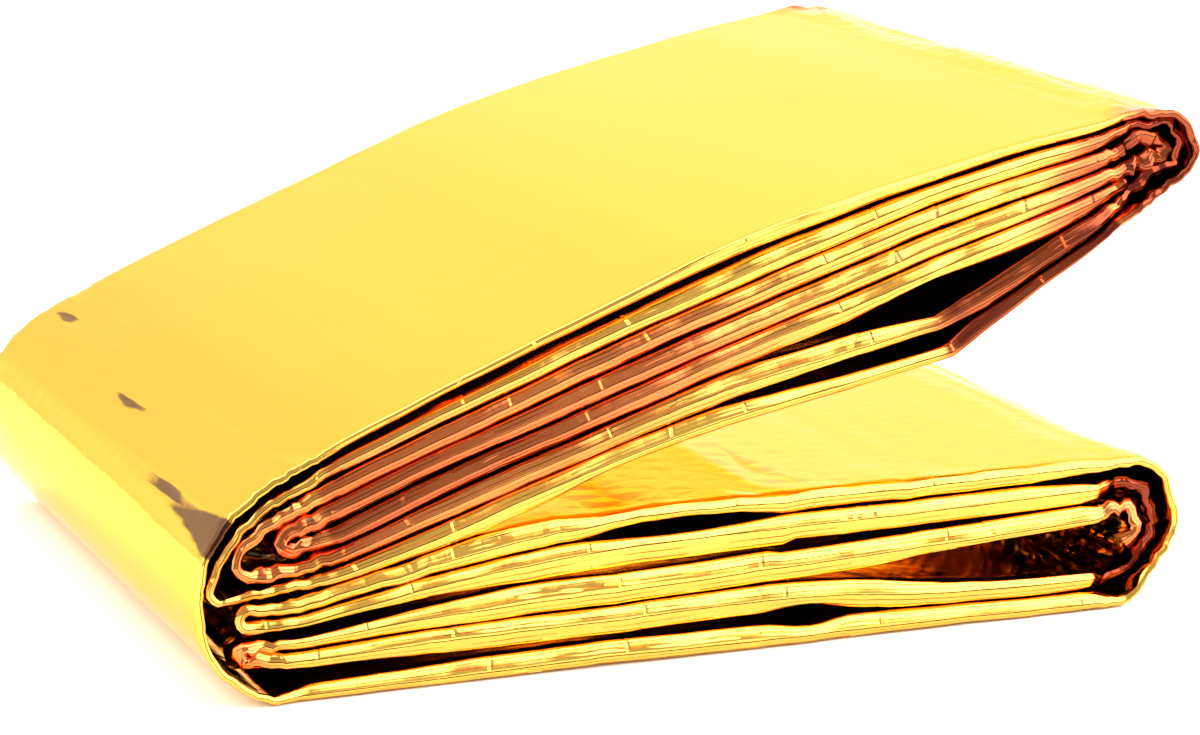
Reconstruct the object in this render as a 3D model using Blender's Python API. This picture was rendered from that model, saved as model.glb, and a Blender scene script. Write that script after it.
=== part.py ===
"""Emergency foil blanket, folded, with the last fold sprung open.

The film is pleated across its length into one strip, which is folded to and fro into a packet of two legs
joined by a round spine. One leg lies flat, the other rises over it. The solid is the section of the strip
across its folds, drawn out along the spine. +X points out of the open end, +Y along the spine, +Z up.
"""

import math

import bmesh
import bpy
from mathutils import Vector

MM = 0.001
STRIP_WIDTH = 106.0 * MM  # along the spine
SAMPLE_STEP = 4.0 * MM  # longest straight facet along the strip
HAIRPIN_SIDES = 6  # facets of a fold that turns straight back
HAIRPIN_REACH = 6.0 * MM  # how far the lower leg's folds run on towards the spine, past the first station
SHELL = 1.0  # mm, thickness of the strip where it is pulled tight round the spine and the ends

FILM_COLOUR = (0.92, 0.66, 0.10, 1.0)
FILM_ROUGHNESS = 0.18

# Distance of each column of a leg's table from the foot of the spine, in mm.
LOWER_STATIONS = (2.0, 20.0, 42.0, 66.0, 88.0, 107.0)
UPPER_STATIONS = (8.0, 20.0, 38.0, 56.0, 72.0, 85.0, 97.0, 107.0)

# Height of the middle of each layer at its leg's stations, in mm, from the top down. The base lies flat.
LOWER_HEIGHTS = {
    "roof": (11.6, 15.2, 18.1, 18.3, 18.5, 18.8),
    "under_roof": (9.5, 12.5, 14.6, 15.1, 15.3, 15.7),
    "loose_end": (7.3, 8.7, 9.3, 10.1, 11.0, 11.9),
    "above_base": (5.0, 5.5, 5.7, 6.0, 4.4, 4.0),
}
UPPER_HEIGHTS = {
    "cover": (31.0, 36.0, 43.2, 50.2, 54.9, 58.0, 60.7, 62.5),
    "under_cover": (28.6, 33.2, 39.9, 46.2, 51.4, 55.4, 58.3, 60.3),
    "third": (25.9, 30.3, 36.9, 43.2, 48.3, 52.3, 55.4, 57.9),
    "fourth": (23.0, 27.4, 33.7, 39.8, 44.7, 48.9, 52.3, 55.2),
    "fifth": (19.7, 24.5, 30.6, 36.7, 41.6, 45.8, 49.6, 52.8),
    "lining": (17.3, 21.5, 27.5, 33.0, 36.3, 38.4, 44.3, 49.8),
    "underside": (15.1, 18.5, 24.3, 29.3, 32.4, 35.3, 41.9, 47.8),
}
# Thickness of each layer at the spine, at the middle of its leg and at the open end, in mm.
THICKNESS = {
    "roof": (1.6, 2.2, 2.0),
    "under_roof": (1.6, 2.2, 1.8),
    "loose_end": (1.8, 2.4, 1.6),
    "above_base": (1.8, 2.4, 2.0),
    "base": (1.6, 2.4, 1.8),
    "cover": (SHELL, 1.3, SHELL),
    "under_cover": (1.4, 2.2, 1.4),
    "third": (1.7, 2.2, 1.4),
    "fourth": (1.7, 2.2, 1.4),
    "fifth": (1.6, 2.2, 1.3),
    "lining": (1.5, 2.2, SHELL),
    "underside": (1.5, 2.2, SHELL),
}

# The strip between its layers: each row is a point (along, height, thickness) in mm.
UPPER_FREE_END = ((111.2, 54.6, 1.1),)
UPPER_INNER_HEEL = ((4.0, 18.3, 1.4), (1.6, 18.1, 1.2), (0.4, 19.2, SHELL), (1.8, 20.4, 1.2), (4.4, 21.4, 1.4))
UPPER_END_ROLL = (
    (110.6, 56.6, SHELL),
    (113.6, 57.0, SHELL),
    (115.9, 57.8, SHELL),
    (116.7, 59.3, SHELL),
    (115.4, 60.4, SHELL),
    (113.0, 60.4, SHELL),
    (110.4, 59.3, 1.2),
)
UPPER_OUTER_HEEL = (
    (2.0, 23.2, 1.5),
    (-2.0, 21.0, 1.2),
    (-4.6, 18.4, SHELL),
    (-4.7, 16.4, SHELL),
    (-2.4, 15.4, 1.2),
    (2.0, 15.9, 1.4),
)
UPPER_END_LINING = (
    (111.7, 53.1, SHELL),
    (115.9, 55.5, SHELL),
    (118.0, 56.8, SHELL),
    (118.7, 58.5, SHELL),
    (118.1, 60.4, SHELL),
    (116.0, 61.8, SHELL),
    (112.6, 61.9, SHELL),
)
SPINE_LINING = (
    (2.6, 26.0, 1.2),
    (-2.8, 23.3, SHELL),
    (-6.8, 18.2, SHELL),
    (-8.6, 14.0, SHELL),
    (-7.6, 13.0, SHELL),
    (-2.6, 13.5, 1.2),
    (2.0, 14.0, 1.3),
)
UPPER_END_COVER = (
    (112.6, 52.0, SHELL),
    (116.8, 54.3, SHELL),
    (119.3, 55.9, SHELL),
    (120.2, 58.3, SHELL),
    (119.4, 61.2, SHELL),
    (117.0, 63.1, SHELL),
    (112.8, 63.5, SHELL),
)
SPINE_COVER = (
    (3.0, 28.6, SHELL),
    (-2.4, 25.9, SHELL),
    (-6.8, 22.4, SHELL),
    (-9.4, 18.2, SHELL),
    (-10.1, 13.6, SHELL),
    (-9.5, 8.4, SHELL),
    (-7.5, 4.6, SHELL),
    (-4.6, 2.2, SHELL),
    (-1.4, 0.7, 1.2),
)
LOWER_END_COVER = (
    (112.2, 0.9, 1.2),
    (115.3, 3.9, SHELL),
    (117.9, 6.9, SHELL),
    (119.1, 10.2, SHELL),
    (118.4, 13.3, SHELL),
    (116.9, 16.4, SHELL),
    (113.9, 18.5, 1.2),
)
LOWER_END_LINING = (
    (111.6, 15.9, 1.4),
    (114.6, 15.2, SHELL),
    (116.4, 12.8, SHELL),
    (117.0, 10.2, SHELL),
    (115.9, 7.3, SHELL),
    (113.7, 4.7, SHELL),
    (110.9, 3.6, 1.4),
)
LOWER_FREE_END = (
    (110.4, 12.6, 1.2),
    (112.8, 11.8, SHELL),
    (113.4, 9.8, SHELL),
    (112.0, 8.2, SHELL),
)


def clear_scene():
    for obj in list(bpy.data.objects):
        bpy.data.objects.remove(obj, do_unlink=True)


def along(points):
    """Rows of (along, height, thickness) in mm, as vectors in metres with the thickness as the third number."""
    return [Vector(row) * MM for row in points]


def layer(name, outward):
    """The middle line of a layer through its leg's stations, from the spine out or back to the spine."""
    stations = UPPER_STATIONS if name in UPPER_HEIGHTS else LOWER_STATIONS
    heights = {**LOWER_HEIGHTS, **UPPER_HEIGHTS}.get(name)
    heel, middle, toe = THICKNESS[name]
    rows = []
    for index, reach in enumerate(stations):
        share = 2 * index / (len(stations) - 1)
        thick = heel + (middle - heel) * share if share < 1 else middle + (toe - middle) * (share - 1)
        rows.append((reach, heights[index] if heights else thick / 2, thick))
    return along(rows if outward else reversed(rows))


def hairpin(start, end):
    """A half round towards the spine, from one layer's end to the next one's."""
    middle = (start + end) / 2
    radius = (end - start).xy.length / 2
    side = (end - start).xy.normalized()
    arc = []
    for step in range(HAIRPIN_SIDES + 1):
        angle = math.pi * step / HAIRPIN_SIDES
        place = middle.xy - side * radius * math.cos(angle)
        place.x -= radius * math.sin(angle) + HAIRPIN_REACH
        arc.append(Vector((place.x, place.y, start.z + (end.z - start.z) * step / HAIRPIN_SIDES)))
    return arc


def strip_path():
    """The whole strip in order, from its end inside the upper leg to its end inside the lower one."""
    roof, under_roof = layer("roof", False), layer("under_roof", True)
    above_base, loose_end = layer("above_base", False), layer("loose_end", True)
    return [
        along(UPPER_FREE_END),
        layer("fifth", False),
        along(UPPER_INNER_HEEL),
        layer("fourth", True),
        along(UPPER_END_ROLL),
        layer("third", False),
        along(UPPER_OUTER_HEEL),
        layer("lining", True),
        along(UPPER_END_LINING),
        layer("under_cover", False),
        along(SPINE_LINING),
        layer("underside", True),
        along(UPPER_END_COVER),
        layer("cover", False),
        along(SPINE_COVER),
        layer("base", True),
        along(LOWER_END_COVER),
        roof,
        hairpin(roof[-1], under_roof[0]),
        under_roof,
        along(LOWER_END_LINING),
        above_base,
        hairpin(above_base[-1], loose_end[0]),
        loose_end,
        along(LOWER_FREE_END),
    ]


def catmull_rom(before, start, end, after, share):
    """A point between start and end on the smooth curve through all four."""
    square, cube = share * share, share * share * share
    return (
        before * (-share + 2 * square - cube)
        + start * (2 - 5 * square + 3 * cube)
        + end * (share + 4 * square - 3 * cube)
        + after * (square * -1 + cube)
    ) / 2


def smooth_path(knots):
    """The knots joined by a smooth curve, in facets no longer than SAMPLE_STEP."""
    padded = [knots[0], *knots, knots[-1]]
    path = []
    for before, start, end, after in zip(padded, padded[1:], padded[2:], padded[3:]):
        span = (end - start).xy.length
        pieces = max(1, math.ceil(span / SAMPLE_STEP))
        # Tangents from unequal spans are scaled to this one, so a short span isn't thrown into a loop.
        left = start - (start - before) * min(1, span / max((start - before).xy.length, 1e-6))
        right = end + (after - end) * min(1, span / max((after - end).xy.length, 1e-6))
        path += [catmull_rom(left, start, end, right, step / pieces) for step in range(pieces)]
    return [*path, knots[-1]]


def outline(path):
    """The strip's section: its middle line set off to both sides by half its thickness."""
    left, right = [], []
    for index, point in enumerate(path):
        before, after = path[max(index - 1, 0)], path[min(index + 1, len(path) - 1)]
        inward, outward = (point - before).xy, (after - point).xy
        if inward.length < 1e-7:
            inward = outward
        if outward.length < 1e-7:
            outward = inward
        inward.normalize()
        outward.normalize()
        tangent = (inward + outward).normalized()
        lean = max(tangent.dot(outward), 0.6)
        normal = Vector((-tangent.y, tangent.x)) * (point.z / 2 / lean)
        left.append(point.xy + normal)
        right.append(point.xy - normal)
    return left + right[::-1]


def foil_blanket():
    """The folded strip as one solid, centred over its underside."""
    section = outline(smooth_path([knot for part in strip_path() for knot in part]))
    reach = [corner.x for corner in section]
    centre = (min(reach) + max(reach)) / 2
    corners = []
    mesh = bpy.data.meshes.new("foil_blanket")
    shape = bmesh.new()
    for corner in section:
        corners.append(shape.verts.new((corner.x - centre, -STRIP_WIDTH / 2, max(corner.y, 0.0))))
    face = shape.faces.new(corners)
    drawn = bmesh.ops.extrude_face_region(shape, geom=[face])
    moved = [item for item in drawn["geom"] if isinstance(item, bmesh.types.BMVert)]
    bmesh.ops.translate(shape, verts=moved, vec=(0, STRIP_WIDTH, 0))
    bmesh.ops.recalc_face_normals(shape, faces=shape.faces)
    shape.to_mesh(mesh)
    shape.free()
    return bpy.data.objects.new("foil_blanket", mesh)


def gold_film():
    """Polyester film with a gold coloured metal coat."""
    material = bpy.data.materials.new("gold_film")
    material.use_nodes = True
    shader = material.node_tree.nodes["Principled BSDF"]
    shader.inputs["Base Color"].default_value = FILM_COLOUR
    shader.inputs["Roughness"].default_value = FILM_ROUGHNESS
    shader.inputs["Metallic"].default_value = 1.0
    return material


def main():
    clear_scene()
    blanket = foil_blanket()
    blanket.data.materials.append(gold_film())
    bpy.context.scene.collection.objects.link(blanket)


main()
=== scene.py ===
"""Emergency foil blanket, folded to a packet with its last fold sprung open.

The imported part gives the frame. One piece is added: the film, pleated into a strip and folded to and fro. The
strip starts as a flat grid, one row for each step along it and one column for each step round its section, and is
then folded: each row goes to its place on the strip's middle line. Lengths in the tables are in millimetres, taken
from the foot of the spine. +X points out of the open end, +Y along the spine, +Z up.
"""

import math
import bmesh
import bpy
import numpy as np
from mathutils import Euler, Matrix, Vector, noise


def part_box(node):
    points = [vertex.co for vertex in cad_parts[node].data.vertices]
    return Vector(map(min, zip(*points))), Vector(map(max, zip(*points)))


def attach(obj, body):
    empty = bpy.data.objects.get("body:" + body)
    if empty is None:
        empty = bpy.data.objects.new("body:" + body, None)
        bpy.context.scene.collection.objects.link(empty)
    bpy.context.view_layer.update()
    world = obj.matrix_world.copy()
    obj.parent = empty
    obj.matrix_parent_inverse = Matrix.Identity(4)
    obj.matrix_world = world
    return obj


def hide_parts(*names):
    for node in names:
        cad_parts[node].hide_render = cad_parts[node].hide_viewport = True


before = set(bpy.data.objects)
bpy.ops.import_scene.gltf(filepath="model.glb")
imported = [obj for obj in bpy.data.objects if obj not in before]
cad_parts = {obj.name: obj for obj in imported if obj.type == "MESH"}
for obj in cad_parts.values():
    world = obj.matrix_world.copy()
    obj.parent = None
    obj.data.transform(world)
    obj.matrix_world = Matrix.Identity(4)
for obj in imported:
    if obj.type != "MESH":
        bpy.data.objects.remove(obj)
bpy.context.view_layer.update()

bl_info = {
    "name": "Folded foil blanket",
    "version": (1, 0, 0),
    "blender": (4, 5, 0),
    "location": "3D View > Sidebar > Foil blanket",
    "description": "Folds a gold film blanket into a packet and sets its stage",
    "category": "Add Mesh",
}

BLANKET_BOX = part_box("foil_blanket")
MM = 0.001

# The section of the strip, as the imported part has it.
SPINE_SHELL = 10.6  # mm, from the foot of the spine out to its round outer face
LOWER_STATIONS = (2.0, 20.0, 42.0, 66.0, 88.0, 107.0)
UPPER_STATIONS = (8.0, 20.0, 38.0, 56.0, 72.0, 85.0, 97.0, 107.0)
LOWER_HEIGHTS = {
    "roof": (11.6, 15.2, 18.1, 18.3, 18.5, 18.8),
    "under_roof": (9.5, 12.5, 14.6, 15.1, 15.3, 15.7),
    "loose_end": (7.3, 8.7, 9.3, 10.1, 11.0, 11.9),
    "above_base": (5.0, 5.5, 5.7, 6.0, 4.4, 4.0),
    "base": (0.8, 0.9, 1.2, 1.1, 1.0, 0.9),
}
UPPER_HEIGHTS = {
    "cover": (31.0, 36.0, 43.2, 50.2, 54.9, 58.0, 60.7, 62.5),
    "under_cover": (28.6, 33.2, 39.9, 46.2, 51.4, 55.4, 58.3, 60.3),
    "third": (25.9, 30.3, 36.9, 43.2, 48.3, 52.3, 55.4, 57.9),
    "fourth": (23.0, 27.4, 33.7, 39.8, 44.7, 48.9, 52.3, 55.2),
    "fifth": (19.7, 24.5, 30.6, 36.7, 41.6, 45.8, 49.6, 52.8),
    "lining": (17.3, 21.5, 27.5, 33.0, 36.3, 38.4, 44.3, 49.8),
    "underside": (15.1, 18.5, 24.3, 29.3, 32.4, 35.3, 41.9, 47.8),
}
THICKNESS = {
    "roof": (1.6, 2.2, 2.0),
    "under_roof": (1.6, 2.2, 1.8),
    "loose_end": (1.8, 2.4, 1.6),
    "above_base": (1.8, 2.4, 2.0),
    "base": (1.6, 2.4, 1.8),
    "cover": (1.0, 1.3, 1.0),
    "under_cover": (1.4, 2.2, 1.4),
    "third": (1.7, 2.2, 1.4),
    "fourth": (1.7, 2.2, 1.4),
    "fifth": (1.6, 2.2, 1.3),
    "lining": (1.5, 2.2, 1.0),
    "underside": (1.5, 2.2, 1.0),
}
BENDS = {
    "upper_free_end": ((111.2, 54.6, 1.1),),
    "inner_heel": ((4.0, 18.3, 1.4), (1.6, 18.1, 1.2), (0.4, 19.2, 1.0), (1.8, 20.4, 1.2), (4.4, 21.4, 1.4)),
    "upper_roll": (
        (110.6, 56.6, 1.0),
        (113.6, 57.0, 1.0),
        (115.9, 57.8, 1.0),
        (116.7, 59.3, 1.0),
        (115.4, 60.4, 1.0),
        (113.0, 60.4, 1.0),
        (110.4, 59.3, 1.2),
    ),
    "outer_heel": (
        (2.0, 23.2, 1.5),
        (-2.0, 21.0, 1.2),
        (-4.6, 18.4, 1.0),
        (-4.7, 16.4, 1.0),
        (-2.4, 15.4, 1.2),
        (2.0, 15.9, 1.4),
    ),
    "upper_end_lining": (
        (111.7, 53.1, 1.0),
        (115.9, 55.5, 1.0),
        (118.0, 56.8, 1.0),
        (118.7, 58.5, 1.0),
        (118.1, 60.4, 1.0),
        (116.0, 61.8, 1.0),
        (112.6, 61.9, 1.0),
    ),
    "spine_lining": (
        (2.6, 26.0, 1.2),
        (-2.8, 23.3, 1.0),
        (-6.8, 18.2, 1.0),
        (-8.6, 14.0, 1.0),
        (-7.6, 13.0, 1.0),
        (-2.6, 13.5, 1.2),
        (2.0, 14.0, 1.3),
    ),
    "upper_end_cover": (
        (112.6, 52.0, 1.0),
        (116.8, 54.3, 1.0),
        (119.3, 55.9, 1.0),
        (120.2, 58.3, 1.0),
        (119.4, 61.2, 1.0),
        (117.0, 63.1, 1.0),
        (112.8, 63.5, 1.0),
    ),
    "spine_cover": (
        (3.0, 28.6, 1.0),
        (-2.4, 25.9, 1.0),
        (-6.8, 22.4, 1.0),
        (-9.4, 18.2, 1.0),
        (-10.1, 13.6, 1.0),
        (-9.5, 8.4, 1.0),
        (-7.5, 4.6, 1.0),
        (-4.6, 2.2, 1.0),
        (-1.4, 0.7, 1.2),
    ),
    "lower_end_cover": (
        (112.2, 0.9, 1.2),
        (115.3, 3.9, 1.0),
        (117.9, 6.9, 1.0),
        (119.1, 10.2, 1.0),
        (118.4, 13.3, 1.0),
        (116.9, 16.4, 1.0),
        (113.9, 18.5, 1.2),
    ),
    "lower_end_lining": (
        (111.6, 15.9, 1.4),
        (114.6, 15.2, 1.0),
        (116.4, 12.8, 1.0),
        (117.0, 10.2, 1.0),
        (115.9, 7.3, 1.0),
        (113.7, 4.7, 1.0),
        (110.9, 3.6, 1.4),
    ),
    "lower_free_end": ((110.4, 12.6, 1.2), (112.8, 11.8, 1.0), (113.4, 9.8, 1.0), (112.0, 8.2, 1.0)),
}
# The strip from one end to the other. A layer runs out to the open end or in to the spine.
STRIP = (
    ("upper_free_end", "bend"),
    ("fifth", "in"),
    ("inner_heel", "bend"),
    ("fourth", "out"),
    ("upper_roll", "bend"),
    ("third", "in"),
    ("outer_heel", "bend"),
    ("lining", "out"),
    ("upper_end_lining", "bend"),
    ("under_cover", "in"),
    ("spine_lining", "bend"),
    ("underside", "out"),
    ("upper_end_cover", "bend"),
    ("cover", "in"),
    ("spine_cover", "bend"),
    ("base", "out"),
    ("lower_end_cover", "bend"),
    ("roof", "in"),
    ("roof_hairpin", "hairpin"),
    ("under_roof", "out"),
    ("lower_end_lining", "bend"),
    ("above_base", "in"),
    ("base_hairpin", "hairpin"),
    ("loose_end", "out"),
    ("lower_free_end", "bend"),
)
HAIRPIN_SIDES = 6
HAIRPIN_REACH = 6.0

# How each section looks: crumple height in mm, how far its edges stand back in mm, how much painted fold shade
# deepens the gold, standing in for light caught in the folds (1 is copper and 2 maroon), the width of the slit
# between its two plies in mm, and how far its edges have sprung fat towards their neighbours (0 to 1).
PLAIN_LOOK = (0.06, 0.3, 0.0, 0.1, 1.0)
LOOKS = {
    "upper_free_end": (0.5, 0.9, 2.0, 0.1, 0.6),
    "fifth": (0.06, 0.7, 0.1, 0.1, 1.0),
    "inner_heel": (0.6, 0.7, 1.3, 0.1, 1.0),
    "fourth": (0.06, 0.8, 0.15, 0.1, 1.0),
    "upper_roll": (0.9, 0.8, 2.2, 0.1, 0.9),
    "third": (0.06, 0.7, 0.15, 0.1, 1.0),
    "outer_heel": (0.5, 0.6, 0.9, 0.1, 0.8),
    "lining": (0.06, 0.4, 0.05, 0.1, 1.0),
    "upper_end_lining": (0.7, 0.9, 2.2, 0.1, 0.9),
    "under_cover": (0.06, 0.4, 0.0, 0.1, 1.0),
    "spine_lining": (0.25, 0.5, 0.3, 0.1, 0.3),
    "upper_end_cover": (0.4, 0.3, 1.8, 0.1, 0.4),
    "cover": (0.03, 0.0, 0.0, 0.3, 0.9),
    "spine_cover": (0.08, 0.0, 0.0, 0.1, 0.0),
    "lower_end_cover": (0.3, 0.3, 0.0, 0.1, 0.2),
    "roof": (0.14, 0.3, 0.0, 0.1, 1.0),
    "roof_hairpin": (0.25, 0.5, 0.5, 0.1, 0.5),
    "lower_end_lining": (0.8, 1.5, 2.2, 0.1, 0.4),
    "base_hairpin": (0.8, 0.3, 1.0, 0.1, 0.8),
    "lower_free_end": (0.8, 0.6, 1.2, 0.1, 0.8),
}
# Layers that turn sharply, with how far along the leg and how high. Each takes the place of the nearest station.
KINKS = {"lining": (84.8, 38.9), "underside": (86.9, 35.3)}
KINK_REACH = 1.3  # mm on either side of a kink over which it turns
# Gaps left open between two layers: the upper one, the lower one, where along the leg the gap starts, is widest
# and ends, how wide it is there, and how far in from the edges it reaches, in mm.
PARTINGS = (
    ("cover", "under_cover", 0.0, 26.0, 74.0, 1.1, 2.4),
    ("cover", "under_cover", 40.0, 76.0, 110.0, 0.5, 1.8),
    ("lining", "underside", 54.0, 84.0, 90.0, 1.8, 20.0),
    ("roof", "under_roof", 36.0, 50.0, 64.0, 1.5, 30.0),
    ("roof", "under_roof", 98.0, 110.0, 118.0, 1.0, 12.0),
    ("under_roof", "loose_end", -8.0, 4.0, 30.0, 1.1, 20.0),
    ("above_base", "base", -10.0, -1.0, 24.0, 1.4, 20.0),
    ("above_base", "base", 62.0, 68.5, 73.0, 1.3, 20.0),
)
# Edges that spring out further than the others, where a pleat is doubled: the layer, whether on its lower side,
# where along the leg, and how far.
DOUBLED = (("under_roof", True, 8.0, 66.0, 3.3), ("loose_end", False, 8.0, 64.0, 2.2))
# How much painted fold shade, from copper to maroon, a layer gets along its length: at these distances along the
# leg, and how much there.
PAINTED_FOLD_SHADE_ALONG = {
    "under_cover": ((10, 30, 60, 99, 106), (0.8, 0.4, 0.0, 0.1, 1.6)),
    "third": ((20, 50, 80, 97, 105), (1.2, 0.9, 0.05, 0.1, 1.6)),
    "fourth": ((20, 50, 80, 95, 104), (1.5, 1.0, 0.1, 0.1, 1.6)),
    "fifth": ((20, 50, 80, 95, 104), (1.5, 1.0, 0.1, 0.1, 1.6)),
    "lining": ((10, 40, 70, 83, 87), (1.1, 0.8, 0.0, 0.2, 2.2)),
    "underside": ((12, 40, 85, 88), (0.2, 0.0, 0.1, 2.2)),
}

LAYER_STEP = 2.0  # mm between rows along a layer
BEND_STEP = 0.75  # mm between rows round a bend
NEIGHBOUR = 2.4  # mm along the strip, nearer than which a part of it isn't its own neighbour
FILM_GAP = 0.15  # mm left between layers where their edges have sprung fat
# Dents in the spine's film near its round, shallow in the mesh, with a dark reflection of the room painted into their
# colour: how far along and how high on the section, how far in from the near edge their middle is, and half their
# length and half their width in mm.
DENTS = (
    (-7.8, 20.8, 0.0, 24.0, 3.2),
    (-7.4, 21.5, 20.0, 12.0, 1.2),
    (-3.6, 24.9, 54.0, 6.0, 1.0),
    (-5.0, 23.9, 60.0, 3.0, 1.6),
    (-0.4, 26.9, 98.0, 5.0, 1.2),
)
MOST_HALF = 1.9  # mm, the most that an edge springs out from the middle line
OPEN_FROM, OPEN_AT = 5.0, 7.5  # mm of room over which an edge stops springing out
# Half of an edge, from its slit to its face, in shares of its height and depth, and how much deeper it goes in
# the fine lines between its plies. It is a blunt wedge.
EDGE_PROFILE = (
    (0.10, 0.03, 0.0),
    (0.24, 0.08, 0.0),
    (0.37, 0.14, 0.0),
    (0.39, 0.16, 0.22),
    (0.42, 0.17, 0.0),
    (0.58, 0.25, 0.0),
    (0.71, 0.34, 0.0),
    (0.73, 0.36, 0.26),
    (0.76, 0.38, 0.0),
    (0.89, 0.56, 0.0),
    (0.97, 0.95, 0.0),
    (1.0, 1.7, 0.0),
)
FACE_INSETS = (2.8, 5.0, 8.5, 14.0, 22.0, 32.0, 43.0)  # mm in from an edge


def hexadecimal(code, alpha=1.0):
    """A linear colour from an sRGB hex code such as FFCC55."""
    shares = [int(code[place : place + 2], 16) / 255 for place in (0, 2, 4)]
    return tuple(s / 12.92 if s <= 0.04045 else ((s + 0.055) / 1.055) ** 2.4 for s in shares) + (alpha,)


class FilmSettings(bpy.types.PropertyGroup):
    """Sizes and colours of the folded film."""

    strip_width: bpy.props.FloatProperty(
        name="Strip width",
        description="Width of the pleated strip, along the spine",
        default=BLANKET_BOX[1][1] - BLANKET_BOX[0][1],
        unit="LENGTH",
    )
    strip_length: bpy.props.FloatProperty(
        name="Strip length",
        description="Length of the pleated strip before it is folded, one side of the blanket",
        default=1.6,
        unit="LENGTH",
    )
    nose_depth: bpy.props.FloatProperty(
        name="Edge depth",
        description="How deep the rounded edge of each layer is",
        default=1.0 * MM,
        unit="LENGTH",
        precision=5,
    )
    slit_depth: bpy.props.FloatProperty(
        name="Slit depth",
        description="Depth of the slit between the two plies of a layer",
        default=1.1 * MM,
        unit="LENGTH",
        precision=5,
    )
    crumple: bpy.props.FloatProperty(
        name="Crumple",
        description="Scales the height of every crumple",
        default=1.0,
        min=0.0,
        subtype="FACTOR",
    )
    gold: bpy.props.FloatVectorProperty(
        name="Gold",
        description="Colour of the metal coat seen through the tinted film",
        size=4,
        subtype="COLOR",
        default=hexadecimal("F9C24E"),
    )
    glance: bpy.props.FloatVectorProperty(
        name="Glancing gold",
        description="Colour of the metal coat where it is seen at a glance",
        size=4,
        subtype="COLOR",
        default=hexadecimal("FFDC8C"),
    )
    # Painted shade: this colour is mixed into the gold where the folds should look shaded.
    painted_copper_shade: bpy.props.FloatVectorProperty(
        name="Copper",
        description="Colour that the gold deepens to in tight folds",
        size=4,
        subtype="COLOR",
        default=hexadecimal("E07A3C"),
    )
    # Painted shade: this colour is mixed in where the folds should look most deeply shaded.
    maroon: bpy.props.FloatVectorProperty(
        name="Maroon",
        description="Colour that the copper deepens to in the tightest folds",
        size=4,
        subtype="COLOR",
        default=hexadecimal("8A3012"),
    )
    # Painted shade: this dark olive is painted on the film in the slits between plies.
    slit: bpy.props.FloatVectorProperty(
        name="Slit",
        description="Colour of the film edges in the slits",
        size=4,
        subtype="COLOR",
        default=hexadecimal("4A5218"),
    )
    # Painted reflection: this dark colour is painted into the dents, standing in for the room mirrored there.
    dent_and_painted_reflection: bpy.props.FloatVectorProperty(
        name="Dent",
        description="Colour of the dents in the spine, which mirror the dark of the room",
        size=4,
        subtype="COLOR",
        default=hexadecimal("552C06"),
    )


class StageSettings(bpy.types.PropertyGroup):
    """The camera and the floor."""

    lens: bpy.props.FloatProperty(
        name="Lens",
        description="Focal length on a 36 mm sensor",
        default=121.5,
        unit="CAMERA",
    )
    floor_side: bpy.props.FloatProperty(
        name="Floor side",
        description="Side of the square floor",
        default=6.0,
        unit="LENGTH",
    )
    floor_colour: bpy.props.FloatVectorProperty(
        name="Floor colour",
        description="Colour of the floor",
        size=4,
        subtype="COLOR",
        default=hexadecimal("F2F2F0"),
    )


# --- the strip's middle line ---


def layer_knots(name, outward):
    """Rows (along, height, thickness) of a layer in mm, from the spine out or back to the spine."""
    stations = UPPER_STATIONS if name in UPPER_HEIGHTS else LOWER_STATIONS
    heights = {**LOWER_HEIGHTS, **UPPER_HEIGHTS}[name]
    shares = np.linspace(0, 2, len(stations))
    rows = list(zip(stations, heights, np.interp(shares, (0, 1, 2), THICKNESS[name])))
    if name in KINKS:
        nearest = min(range(len(rows)), key=lambda index: abs(rows[index][0] - KINKS[name][0]))
        kink = np.array((*KINKS[name], rows[nearest][2]))
        before, after = np.array(rows[nearest - 1]), np.array(rows[nearest + 1])
        sides = [kink + (knot - kink) * KINK_REACH / abs(knot[0] - kink[0]) for knot in (before, after)]
        rows[nearest : nearest + 1] = [tuple(sides[0]), tuple(kink), tuple(sides[1])]
    return rows if outward else rows[::-1]


def hairpin_knots(start, end):
    """A half round towards the spine, from one layer's end to the next one's."""
    start, end = np.array(start), np.array(end)
    middle, span = (start + end) / 2, (end - start)[:2]
    radius = np.linalg.norm(span) / 2
    knots = []
    for step in range(HAIRPIN_SIDES + 1):
        angle = math.pi * step / HAIRPIN_SIDES
        place = middle[:2] - span / 2 * math.cos(angle)
        place[0] -= radius * math.sin(angle) + HAIRPIN_REACH
        knots.append((*place, start[2] + (end[2] - start[2]) * step / HAIRPIN_SIDES))
    return knots


def strip_knots():
    """Every knot of the strip as (along, height, thickness, crumple, recess, shade, slit, fat), with its section."""
    parts = {}
    for name, run in STRIP:
        if run in ("in", "out"):
            parts[name] = layer_knots(name, run == "out")
        elif run == "bend":
            parts[name] = list(BENDS[name])
    parts["roof_hairpin"] = hairpin_knots(parts["roof"][-1], parts["under_roof"][0])
    parts["base_hairpin"] = hairpin_knots(parts["above_base"][-1], parts["loose_end"][0])
    knots, sections = [], []
    for index, (name, _) in enumerate(STRIP):
        for knot in parts[name]:
            knots.append((*knot, *LOOKS.get(name, PLAIN_LOOK)))
            sections.append(index)
    return np.array(knots), sections


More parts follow.
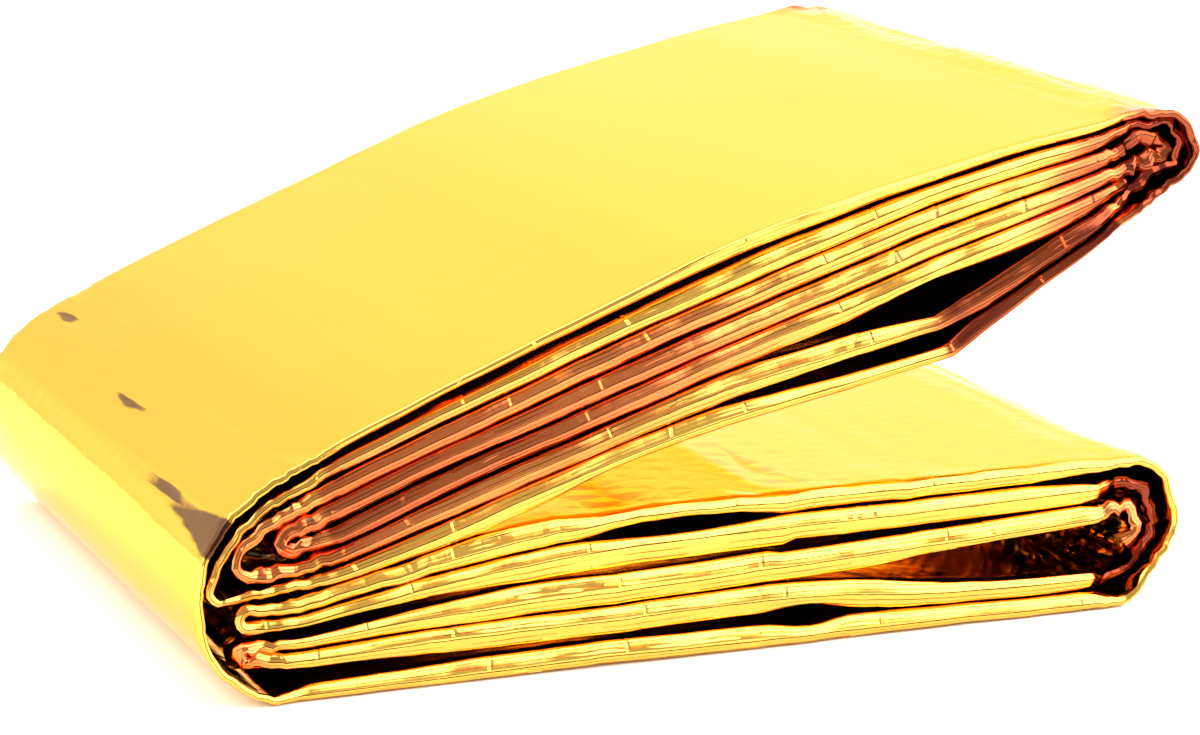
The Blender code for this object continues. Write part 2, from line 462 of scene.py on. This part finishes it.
def smooth_rows(knots, sections):
    """The knots joined by a smooth curve, as rows no further apart than their section's step."""
    padded = np.vstack([knots[:1], knots, knots[-1:]])
    rows, owners = [], []
    for index in range(len(knots) - 1):
        before, start, end, after = padded[index : index + 4]
        span = np.linalg.norm((end - start)[:2])
        owner = sections[index]
        straight = STRIP[owner][1] in ("in", "out") and sections[index + 1] == owner
        pieces = max(1, math.ceil(span / (LAYER_STEP if straight else BEND_STEP)))
        # Tangents from unequal spans are scaled to this one, so a short span isn't thrown into a loop.
        left = (start - before) * min(1, span / max(np.linalg.norm((start - before)[:2]), MM))
        right = (after - end) * min(1, span / max(np.linalg.norm((after - end)[:2]), MM))
        for step in range(pieces):
            t = step / pieces
            rows.append(
                start * (2 * t**3 - 3 * t**2 + 1)
                + end * (3 * t**2 - 2 * t**3)
                + (left + end - start) / 2 * (t**3 - 2 * t**2 + t)
                + (end - start + right) / 2 * (t**3 - t**2)
            )
            owners.append(owner if t < 0.5 else sections[index + 1])
    return np.vstack([rows, knots[-1:]]), np.array([*owners, sections[-1]])


def normals_of(line):
    """The unit normal to the left of the line at each of its rows."""
    tangent = np.gradient(line, axis=0)
    tangent /= np.linalg.norm(tangent, axis=1)[:, None]
    return np.column_stack([-tangent[:, 1], tangent[:, 0]])


def room_beside(line, arc, normal):
    """How far it is from each row, along its normal, to the next part of the strip."""
    start, run = line[:-1], np.diff(line, axis=0)
    away = start[None] - line[:, None]
    across = normal[:, None, 0] * run[None, :, 1] - normal[:, None, 1] * run[None, :, 0]
    across = np.where(np.abs(across) < 1e-9, 1e-9, across)
    reach = (away[..., 0] * run[None, :, 1] - away[..., 1] * run[None, :, 0]) / across
    share = (away[..., 0] * normal[:, None, 1] - away[..., 1] * normal[:, None, 0]) / across
    hit = (reach > 0) & (share >= 0) & (share <= 1) & (np.abs(arc[None, :-1] - arc[:, None]) > NEIGHBOUR)
    return np.where(hit, reach, np.inf).min(axis=1)


def eased(values, arc, reach):
    """The least value within reach of each row, then the mean of those."""
    near = np.abs(arc[None] - arc[:, None]) <= reach
    least = np.where(near, values[None], np.inf).min(axis=1)
    return np.where(near, least[None], 0).sum(axis=1) / near.sum(axis=1)


def smoothstep(value, low, high):
    share = np.clip((value - low) / (high - low), 0, 1)
    return share * share * (3 - 2 * share)


def parted(rows, owners, side):
    """How much narrower the edge is on this side (1 left, -1 right) beside an open gap, and how far in."""
    shut = np.zeros(len(rows))
    reach = np.full(len(rows), 30.0)
    names = [name for name, _ in STRIP]
    for upper, lower, low, widest, high, width, inset in PARTINGS:
        for name, faces_down in ((upper, True), (lower, False)):
            index = names.index(name)
            inward = STRIP[index][1] == "in"
            if (1 if inward == faces_down else -1) != side:
                continue
            share = np.interp(rows[:, 0], (low, widest, high), (0, 1, 0))
            bulge = np.sin(np.pi / 2 * share) * width / 2
            here = (owners == index) & (bulge > shut)
            shut[here] = bulge[here]
            reach[here] = inset
    return shut, reach


def edge_halves(rows, owners, arc, side):
    """How far the sprung edge stands out to one side of the middle line, and what it gains further in, in mm.

    The third array is how far in it gains that, where a gap beside the edge closes.
    """
    line = rows[:, :2]
    room = room_beside(line, arc, normals_of(line) * side)
    core = rows[:, 2] / 2
    most = np.full(len(rows), MOST_HALF)
    names = [name for name, _ in STRIP]
    for name, faces_down, low, high, reach in DOUBLED:
        index = names.index(name)
        inward = STRIP[index][1] == "in"
        if (1 if inward == faces_down else -1) == side:
            most[(owners == index) & (rows[:, 0] > low) & (rows[:, 0] < high)] = reach
    fat = np.clip(room / 2 - FILM_GAP / 2, 0.25, most)
    free = smoothstep(-room, -OPEN_AT, -OPEN_FROM) * rows[:, 7]
    half = core + (np.maximum(fat, core) - core) * free
    half = np.minimum(half, np.clip(room / 2 - FILM_GAP / 2, 0.25, None))
    shut, reach = parted(rows, owners, side)
    narrow = eased(np.maximum(half - shut, 0.3), arc, 1.2)
    return narrow, np.maximum(eased(half, arc, 1.2) - narrow, 0), reach


# --- the strip's section ---


def ring():
    """Columns round the strip's section from the slit of the far edge: (across, edge, inset, line, kind, side).

    across is 0 at the slit and 1 on a face, edge is -1 near and 1 far, inset is in edge depths on an edge and in
    mm on a face, line is how much deeper a line between plies goes, and side is 1 left and -1 right.
    """
    edge = [(0.0, 0.02, 0.0, "lip"), *((*row, "nose") for row in EDGE_PROFILE)]
    half = [*edge, *((1.0, inset, 0.0, "face") for inset in FACE_INSETS)]
    columns = []
    for side in (1, -1):
        first, second = (1, -1) if side == 1 else (-1, 1)
        columns.append((0.0, first, 0.0, 0.0, "slit", side))
        columns += [(a, first, inset, line, kind, side) for a, inset, line, kind in half]
        columns.append((1.0, 0, 0.0, 0.0, "middle", side))
        columns += [(a, second, inset, line, kind, side) for a, inset, line, kind in reversed(half)]
    return columns


def wave(x, y=0.0, z=0.0):
    """Smooth noise from -1 to 1 at a place in the noise's own units."""
    return noise.noise(Vector((x, y, z)))


def crease(x, y=0.0, z=0.0):
    """Noise with sharp valleys, as film has that was crumpled: 0 in a valley, about 1 between."""
    return min(1.0, abs(wave(x, y, z)) * 2.2)


def dented(along, height, y):
    """How deep a dent in the spine is at a place on it, from 0 to 1; this also sets how much painted dark reflection
    it gets.
    """
    deepest = 0.0
    for middle, level, inward, half_length, half_width in DENTS:
        across = math.hypot(along - middle, height - level) / half_width
        down = abs(y - (BLANKET_BOX[0][1] / MM + inward)) / half_length
        deepest = max(deepest, 1 - across - down)
    return min(1.0, 2.5 * deepest)


def folded_film(settings):
    """The strip's points in metres, their place on the flat strip, and their painted slit shade, painted fold shade,
    crumple, edge, and dent depth, which also sets the painted dark reflection.
    """
    knots, sections = strip_knots()
    rows, owners = smooth_rows(knots, sections)
    line = rows[:, :2]
    arc = np.concatenate([[0], np.cumsum(np.linalg.norm(np.diff(line, axis=0), axis=1))])
    normal = normals_of(line)
    halves = {side: edge_halves(rows, owners, arc, side) for side in (1, -1)}
    columns = ring()
    half_width = settings.strip_width / MM / 2
    depth, slit_depth = settings.nose_depth / MM, settings.slit_depth / MM
    origin = BLANKET_BOX[0][0] / MM + SPINE_SHELL
    points = np.zeros((len(rows), len(columns), 3))
    flat = np.zeros_like(points)
    looks = np.zeros((*points.shape[:2], 5))
    for i, (_, _, thick, crumple, recess, painted_fold_shade, slit, _) in enumerate(rows):
        s = arc[i]
        edges = {
            -1: -half_width + recess * (1 + wave(s / 31, 1.7)) + 0.25 * (1 + wave(s / 6.5, 4.4)),
            1: half_width - recess * (1 + wave(s / 27, 8.1)) - 0.25 * (1 + wave(s / 6.5, 9.3)),
        }
        ragged = crumple * crease(s / 2.2, 7.7)
        edges = {edge: y - edge * ragged for edge, y in edges.items()}
        name = STRIP[owners[i]][0]
        # Painted fold shade, raised along some layers where their folds should look deeper.
        if name in PAINTED_FOLD_SHADE_ALONG:
            painted_fold_shade = max(painted_fold_shade, float(np.interp(rows[i, 0], *PAINTED_FOLD_SHADE_ALONG[name])))
        dash = {edge: smoothstep(wave(s / 3.1, 5.5 * edge, 2.0), -0.25, 0.15) for edge in (-1, 1)}
        for j, (across, edge, inset, line_depth, kind, side) in enumerate(columns):
            fat, gain, reach = (values[i] for values in halves[side])
            nose = min(depth, 1.1 * fat) * (1 + 0.3 * wave(s / 9, 3.7 * side, edge))
            # The lines between plies wander and come and go.
            across += 0.09 * math.sin(math.pi * across) * wave(s / 19, 6.1 * side, 2.3 * edge)
            inset += line_depth * smoothstep(wave(s / 8, 11 * line_depth + side, 4.9 * edge), -0.3, 0.25)
            if kind == "middle":
                y = (edges[-1] + edges[1]) / 2
                inward = half_width
            elif kind == "face":
                inward = inset
                y = edges[edge] - edge * inward
            else:
                inward = inset * nose
                if kind == "slit":
                    inward = 0.12 + (slit_depth if slit < 0.4 else 3.2) * dash[edge]
                if name == "cover" and side == 1 and kind != "slit":
                    inward += 0.5 * smoothstep(rows[i, 0], 0.0, 20.0)
                y = edges[edge] - edge * inward
            if kind == "lip":
                offset = side * min(slit / 2, 0.4 * fat)
            else:
                wide = fat + gain * smoothstep(inward, 0.3 * reach, reach)
                offset = side * across * (thick / 2 + (wide - thick / 2) * (1 - smoothstep(inward, 3.0, 16.0)))
            dent_and_painted_reflection = dented(*line[i], y) if name == "spine_cover" and kind != "slit" else 0.0
            fold = crumple * settings.crumple * (
                1.4 * wave(s / 11, y / 13, 3.0)
                + crease(s / 5.5, y / 7.5, 6.0)
                + 0.8 * crease(s / 2.4, y / 4.0, 9.0)
                - 0.9
            )
            fold += 0.2 * dent_and_painted_reflection
            if STRIP[owners[i]][1] == "bend":
                fold += 0.18 * (1 - smoothstep(inward, 1.0, 6.0)) * (crease(s / 1.9, y / 5.0, 4.0) - 0.5)
            across_line = offset + fold
            points[i, j] = (
                (line[i, 0] + normal[i, 0] * across_line + origin) * MM,
                y * MM,
                (line[i, 1] + normal[i, 1] * across_line) * MM,
            )
            flat[i, j] = (s * MM, y * MM, offset * MM)
            # The painted fold shade is kept near the edges only, where light is caught in the folds.
            inset_shade = 1 - smoothstep(inward, 1.0, 5.0) if kind in ("face", "middle") else 1.0
            # Painted slit shade in the slit and its lip, painted fold shade, crumple, edge, and dent depth.
            looks[i, j] = (
                {"slit": 1.0, "lip": 0.3}.get(kind, 0.0),
                painted_fold_shade * inset_shade,
                min(1.0, crumple / 0.5),
                float(kind in ("lip", "nose")),
                dent_and_painted_reflection,
            )
    points[..., 2] = np.maximum(points[..., 2], 0.0)
    return points, flat, looks


def sheet_mesh(points, flat, looks):
    """A flat grid with a row and a column for each point, folded to the points and closed round its section."""
    rows, columns = points.shape[:2]
    film = bmesh.new()
    bmesh.ops.create_grid(film, x_segments=rows - 1, y_segments=columns, size=1.0)
    place = film.verts.layers.float_vector.new("flat_place")
    layers = [film.verts.layers.float.new(name) for name in ("slit", "painted_fold_shade", "crumple", "edge", "dent_and_painted_reflection")]
    seam = []
    for vert in film.verts:
        i = round((vert.co.x + 1) / 2 * (rows - 1))
        j = round((vert.co.y + 1) / 2 * columns) % columns
        if j == 0:
            seam.append(vert)
        vert.co = points[i, j]
        vert[place] = flat[i, j]
        for layer, value in zip(layers, looks[i, j]):
            vert[layer] = value
    bmesh.ops.remove_doubles(film, verts=seam, dist=1e-7)
    ends = [edge for edge in film.edges if edge.is_boundary]
    bmesh.ops.holes_fill(film, edges=ends, sides=0)
    for face in film.faces:
        face.smooth = True
    bmesh.ops.recalc_face_normals(film, faces=film.faces)
    open_edges = sum(not edge.is_manifold for edge in film.edges)
    if open_edges:
        raise RuntimeError(f"the folded film has {open_edges} edges that aren't closed")
    mesh = bpy.data.meshes.new("gold_film_blanket")
    film.to_mesh(mesh)
    film.free()
    mesh.set_sharp_from_angle(angle=math.radians(38))
    return mesh


# --- materials ---


def add(tree, kind, inputs=None, **settings):
    """A new node with its settings, and its inputs linked or set by name or place."""
    node = tree.nodes.new(kind)
    for name, value in settings.items():
        setattr(node, name, value)
    for name, value in (inputs or {}).items():
        if isinstance(value, bpy.types.NodeSocket):
            tree.links.new(value, node.inputs[name])
        else:
            node.inputs[name].default_value = value
    return node


def metallised_film(settings):
    """Clear gold tinted polyester film over a vacuum deposited aluminium coat.

    The metal gives mirror bright reflections that lose their blue, and more green with each bounce, so folds go
    from lemon through orange to maroon. On top of that, painted copper and maroon shade in the folds, painted
    shade in the slits and a painted dark reflection in the spine's dents are mixed into the colour. The smooth film
    over it adds a weak white gloss, strongest at a glance.
    """
    material = bpy.data.materials.new("metallised_polyester_film")
    material.use_nodes = True
    tree = material.node_tree
    shader = tree.nodes["Principled BSDF"]
    place = add(tree, "ShaderNodeAttribute", attribute_name="flat_place").outputs["Vector"]
    mm = add(tree, "ShaderNodeVectorMath", {0: place, 1: (1000, 1000, 1000)}, operation="MULTIPLY").outputs[0]
    slit = add(tree, "ShaderNodeAttribute", attribute_name="slit").outputs["Fac"]
    painted_fold_shade = add(tree, "ShaderNodeAttribute", attribute_name="painted_fold_shade").outputs["Fac"]
    crumple = add(tree, "ShaderNodeAttribute", attribute_name="crumple").outputs["Fac"]
    edge = add(tree, "ShaderNodeAttribute", attribute_name="edge").outputs["Fac"]
    dent_and_painted_reflection = add(tree, "ShaderNodeAttribute", attribute_name="dent_and_painted_reflection").outputs["Fac"]

    # The tint varies a little over some 30 mm. Painted shade deepens it to copper and maroon in the folds.
    cloud = add(tree, "ShaderNodeTexNoise", {"Vector": mm, "Scale": 1 / 30, "Detail": 2.0}).outputs["Fac"]
    patchy = add(tree, "ShaderNodeMath", {0: cloud, 1: 0.45}, operation="ADD").outputs[0]
    deep = add(tree, "ShaderNodeMath", {0: painted_fold_shade, 1: patchy}, operation="MULTIPLY").outputs[0]
    deeper = add(tree, "ShaderNodeMath", {0: deep, 1: 1.0}, operation="SUBTRACT").outputs[0]
    fold_shaded = add(
        tree,
        "ShaderNodeMix",
        {"Factor": deep, "A": settings.gold, "B": settings.painted_copper_shade},
        data_type="RGBA",
    )
    gold = add(
        tree,
        "ShaderNodeMix",
        {"Factor": deeper, "A": fold_shaded.outputs["Result"], "B": settings.maroon},
        data_type="RGBA",
    )
    # Painted shade: the film in the slits is darkened to dark olive in dashes along them.
    dashes = add(
        tree,
        "ShaderNodeTexNoise",
        {"Vector": mm, "Scale": 1 / 1.8, "Detail": 1.0},
    ).outputs["Fac"]
    dash = add(
        tree,
        "ShaderNodeMapRange",
        {"Value": dashes, "From Min": 0.40, "From Max": 0.52},
        interpolation_type="SMOOTHSTEP",
    ).outputs[0]
    painted_slit_shade = add(tree, "ShaderNodeMath", {0: slit, 1: dash}, operation="MULTIPLY").outputs[0]
    slit_shaded_colour = add(
        tree,
        "ShaderNodeMix",
        {"Factor": painted_slit_shade, "A": gold.outputs["Result"], "B": settings.slit},
        data_type="RGBA",
    )
    # The painted dark reflection in the dents has ragged ends, broken up over some 3 mm.
    grained = add(tree, "ShaderNodeVectorMath", {0: mm, 1: (1 / 2, 1 / 5, 1 / 2)}, operation="MULTIPLY")
    grain = add(tree, "ShaderNodeTexNoise", {"Vector": grained.outputs[0], "Scale": 1.0}).outputs["Fac"]
    ragged = add(
        tree, "ShaderNodeMath", {0: grain, 1: 0.6, 2: dent_and_painted_reflection}, operation="MULTIPLY_ADD"
    ).outputs[0]
    # Painted reflection: the dark dent colour is mixed in where the dents are deep.
    painted_reflection_share = add(
        tree,
        "ShaderNodeMapRange",
        {"Value": ragged, "From Min": 0.55, "From Max": 0.95},
        interpolation_type="SMOOTHSTEP",
    ).outputs[0]
    colour = add(
        tree,
        "ShaderNodeMix",
        {"Factor": painted_reflection_share, "A": slit_shaded_colour.outputs["Result"], "B": settings.dent_and_painted_reflection},
        data_type="RGBA",
    )
    tree.links.new(colour.outputs["Result"], shader.inputs["Base Color"])

    # Handling leaves faint haze on the film, in patches about 12 mm across.
    haze = add(tree, "ShaderNodeTexNoise", {"Vector": mm, "Scale": 1 / 12, "Detail": 2.0}).outputs["Fac"]
    rough = add(
        tree,
        "ShaderNodeMapRange",
        {"Value": haze, "From Min": 0.3, "From Max": 0.7, "To Min": 0.05, "To Max": 0.12},
    ).outputs[0]
    tree.links.new(rough, shader.inputs["Roughness"])

    # Creases some 4 mm apart where the film was crumpled, and ripples 2 mm apart everywhere, microns high.
    cells = add(
        tree,
        "ShaderNodeTexVoronoi",
        {"Vector": mm, "Scale": 1 / 4},
        voronoi_dimensions="2D",
        feature="DISTANCE_TO_EDGE",
    ).outputs["Distance"]
    ripple = add(tree, "ShaderNodeTexNoise", {"Vector": mm, "Scale": 1 / 2, "Detail": 1.0}).outputs["Fac"]
    creased = add(tree, "ShaderNodeMath", {0: cells, 1: crumple}, operation="MULTIPLY").outputs[0]
    height = add(
        tree, "ShaderNodeMath", {0: ripple, 1: 0.02, 2: creased}, operation="MULTIPLY_ADD"
    ).outputs[0]
    # Fine nicks across the edges, some 30 mm apart, where the packet was pressed and bent.
    stretched = add(tree, "ShaderNodeVectorMath", {0: mm, 1: (1 / 30, 1 / 60, 1 / 20)}, operation="MULTIPLY")
    nicks = add(
        tree,
        "ShaderNodeTexVoronoi",
        {"Vector": stretched.outputs[0], "Scale": 1.0},
        voronoi_dimensions="2D",
        feature="DISTANCE_TO_EDGE",
    ).outputs["Distance"]
    nicked = add(tree, "ShaderNodeMapRange", {"Value": nicks, "From Max": 0.009}).outputs[0]
    edged = add(tree, "ShaderNodeMath", {0: nicked, 1: edge}, operation="MULTIPLY").outputs[0]
    height = add(
        tree, "ShaderNodeMath", {0: edged, 1: 0.12, 2: height}, operation="MULTIPLY_ADD"
    ).outputs[0]
    bump = add(tree, "ShaderNodeBump", {"Height": height, "Strength": 0.5, "Distance": 0.6 * MM})
    tree.links.new(bump.outputs["Normal"], shader.inputs["Normal"])

    shader.inputs["Metallic"].default_value = 1.0
    shader.inputs["Specular Tint"].default_value = settings.glance
    shader.inputs["Coat Weight"].default_value = 0.4
    shader.inputs["Coat Roughness"].default_value = 0.04
    shader.inputs["Coat IOR"].default_value = 1.5
    return material


def matt_board(settings):
    """Matt painted board for the floor."""
    material = bpy.data.materials.new("matt_painted_board")
    material.use_nodes = True
    shader = material.node_tree.nodes["Principled BSDF"]
    shader.inputs["Base Color"].default_value = settings.floor_colour
    shader.inputs["Roughness"].default_value = 0.9
    shader.inputs["Specular IOR Level"].default_value = 0.0
    return material


# --- operators ---


class FoldFilm(bpy.types.Operator):
    """Pleats the film into a strip and folds the strip into the packet"""

    bl_idname = "foil_blanket.fold_film"
    bl_label = "Fold film"
    bl_options = {"REGISTER", "UNDO"}

    def execute(self, context):
        settings = context.scene.foil_film
        mesh = sheet_mesh(*folded_film(settings))
        film = bpy.data.objects.new("gold_film_blanket", mesh)
        context.scene.collection.objects.link(film)
        film.data.materials.append(metallised_film(settings))
        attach(film, "root")
        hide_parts("foil_blanket")
        return {"FINISHED"}


# Soft panels of the light dome: azimuth from +Y towards +X and elevation of the middle, in degrees, the angles
# at which the panel starts and stops fading, and its brightness.
PANELS = (
    (24.0, 15.0, 5.0, 26.0, 0.45),
    (115.0, 32.0, 38.0, 49.0, 4.0),
    (-5.0, 66.0, 10.0, 20.0, 3.6),
    (-95.0, 35.0, 25.0, 48.0, 3.0),
    (-24.0, 6.0, 2.0, 9.0, 0.25),
    (180.0, 12.0, 25.0, 60.0, 0.3),
    (0.0, 20.0, 40.0, 70.0, 0.92),
)
AMBIENT = 0.36


def light_dome():
    """A dome of even soft light with brighter soft panels in it."""
    world = bpy.data.worlds.new("soft_light_dome")
    world.use_nodes = True
    tree = world.node_tree
    direction = add(tree, "ShaderNodeTexCoord").outputs["Generated"]
    total = None
    for azimuth, elevation, inner, outer, brightness in PANELS:
        turn, rise = math.radians(azimuth), math.radians(elevation)
        axis = (math.sin(turn) * math.cos(rise), math.cos(turn) * math.cos(rise), math.sin(rise))
        facing = add(tree, "ShaderNodeVectorMath", {0: direction, 1: axis}, operation="DOT_PRODUCT")
        panel = add(
            tree,
            "ShaderNodeMapRange",
            {
                "Value": facing.outputs["Value"],
                "From Min": math.cos(math.radians(outer)),
                "From Max": math.cos(math.radians(inner)),
                "To Max": brightness,
            },
            interpolation_type="SMOOTHSTEP",
        ).outputs[0]
        base = AMBIENT if total is None else total
        total = add(tree, "ShaderNodeMath", {0: base, 1: panel}, operation="ADD").outputs[0]
    tree.links.new(total, tree.nodes["Background"].inputs["Strength"])
    tree.nodes["Background"].inputs["Color"].default_value = (1, 1, 1, 1)
    return world


class SetStage(bpy.types.Operator):
    """Lays the floor, lights it softly and places the camera"""

    bl_idname = "foil_blanket.set_stage"
    bl_label = "Set stage"
    bl_options = {"REGISTER", "UNDO"}

    def execute(self, context):
        settings = context.scene.foil_stage
        sheet = bmesh.new()
        bmesh.ops.create_grid(sheet, x_segments=1, y_segments=1, size=settings.floor_side / 2)
        bmesh.ops.translate(sheet, verts=sheet.verts, vec=(0, 0, -0.2 * MM))
        mesh = bpy.data.meshes.new("floor")
        sheet.to_mesh(mesh)
        sheet.free()
        floor = bpy.data.objects.new("floor", mesh)
        floor.data.materials.append(matt_board(settings))
        context.scene.collection.objects.link(floor)

        context.scene.world = light_dome()

        camera = bpy.data.objects.new("camera", bpy.data.cameras.new("camera"))
        camera.data.lens = settings.lens
        camera.data.sensor_width = 36.0
        camera.location = (-0.1890, -0.4899, 0.1439)
        camera.rotation_euler = Euler((math.radians(77.24), 0, math.radians(-21.67)))
        context.scene.collection.objects.link(camera)
        context.scene.camera = camera

        context.scene.view_settings.view_transform = "Standard"
        return {"FINISHED"}


class FoilPanel(bpy.types.Panel):
    """Lists the settings and the steps"""

    bl_idname = "VIEW3D_PT_foil_blanket"
    bl_label = "Foil blanket"
    bl_space_type = "VIEW_3D"
    bl_region_type = "UI"
    bl_category = "Foil blanket"

    def draw(self, context):
        for settings, operator in ((context.scene.foil_film, FoldFilm), (context.scene.foil_stage, SetStage)):
            box = self.layout.box()
            for name in settings.bl_rna.properties.keys():
                if name not in ("rna_type", "name"):
                    box.prop(settings, name)
            box.operator(operator.bl_idname)


CLASSES = (FilmSettings, StageSettings, FoldFilm, SetStage, FoilPanel)


def register():
    for cls in CLASSES:
        bpy.utils.register_class(cls)
    bpy.types.Scene.foil_film = bpy.props.PointerProperty(type=FilmSettings)
    bpy.types.Scene.foil_stage = bpy.props.PointerProperty(type=StageSettings)


def unregister():
    del bpy.types.Scene.foil_stage
    del bpy.types.Scene.foil_film
    for cls in reversed(CLASSES):
        bpy.utils.unregister_class(cls)


def main():
    register()
    bpy.ops.foil_blanket.fold_film()
    bpy.ops.foil_blanket.set_stage()


if __name__ == "__main__":
    main()
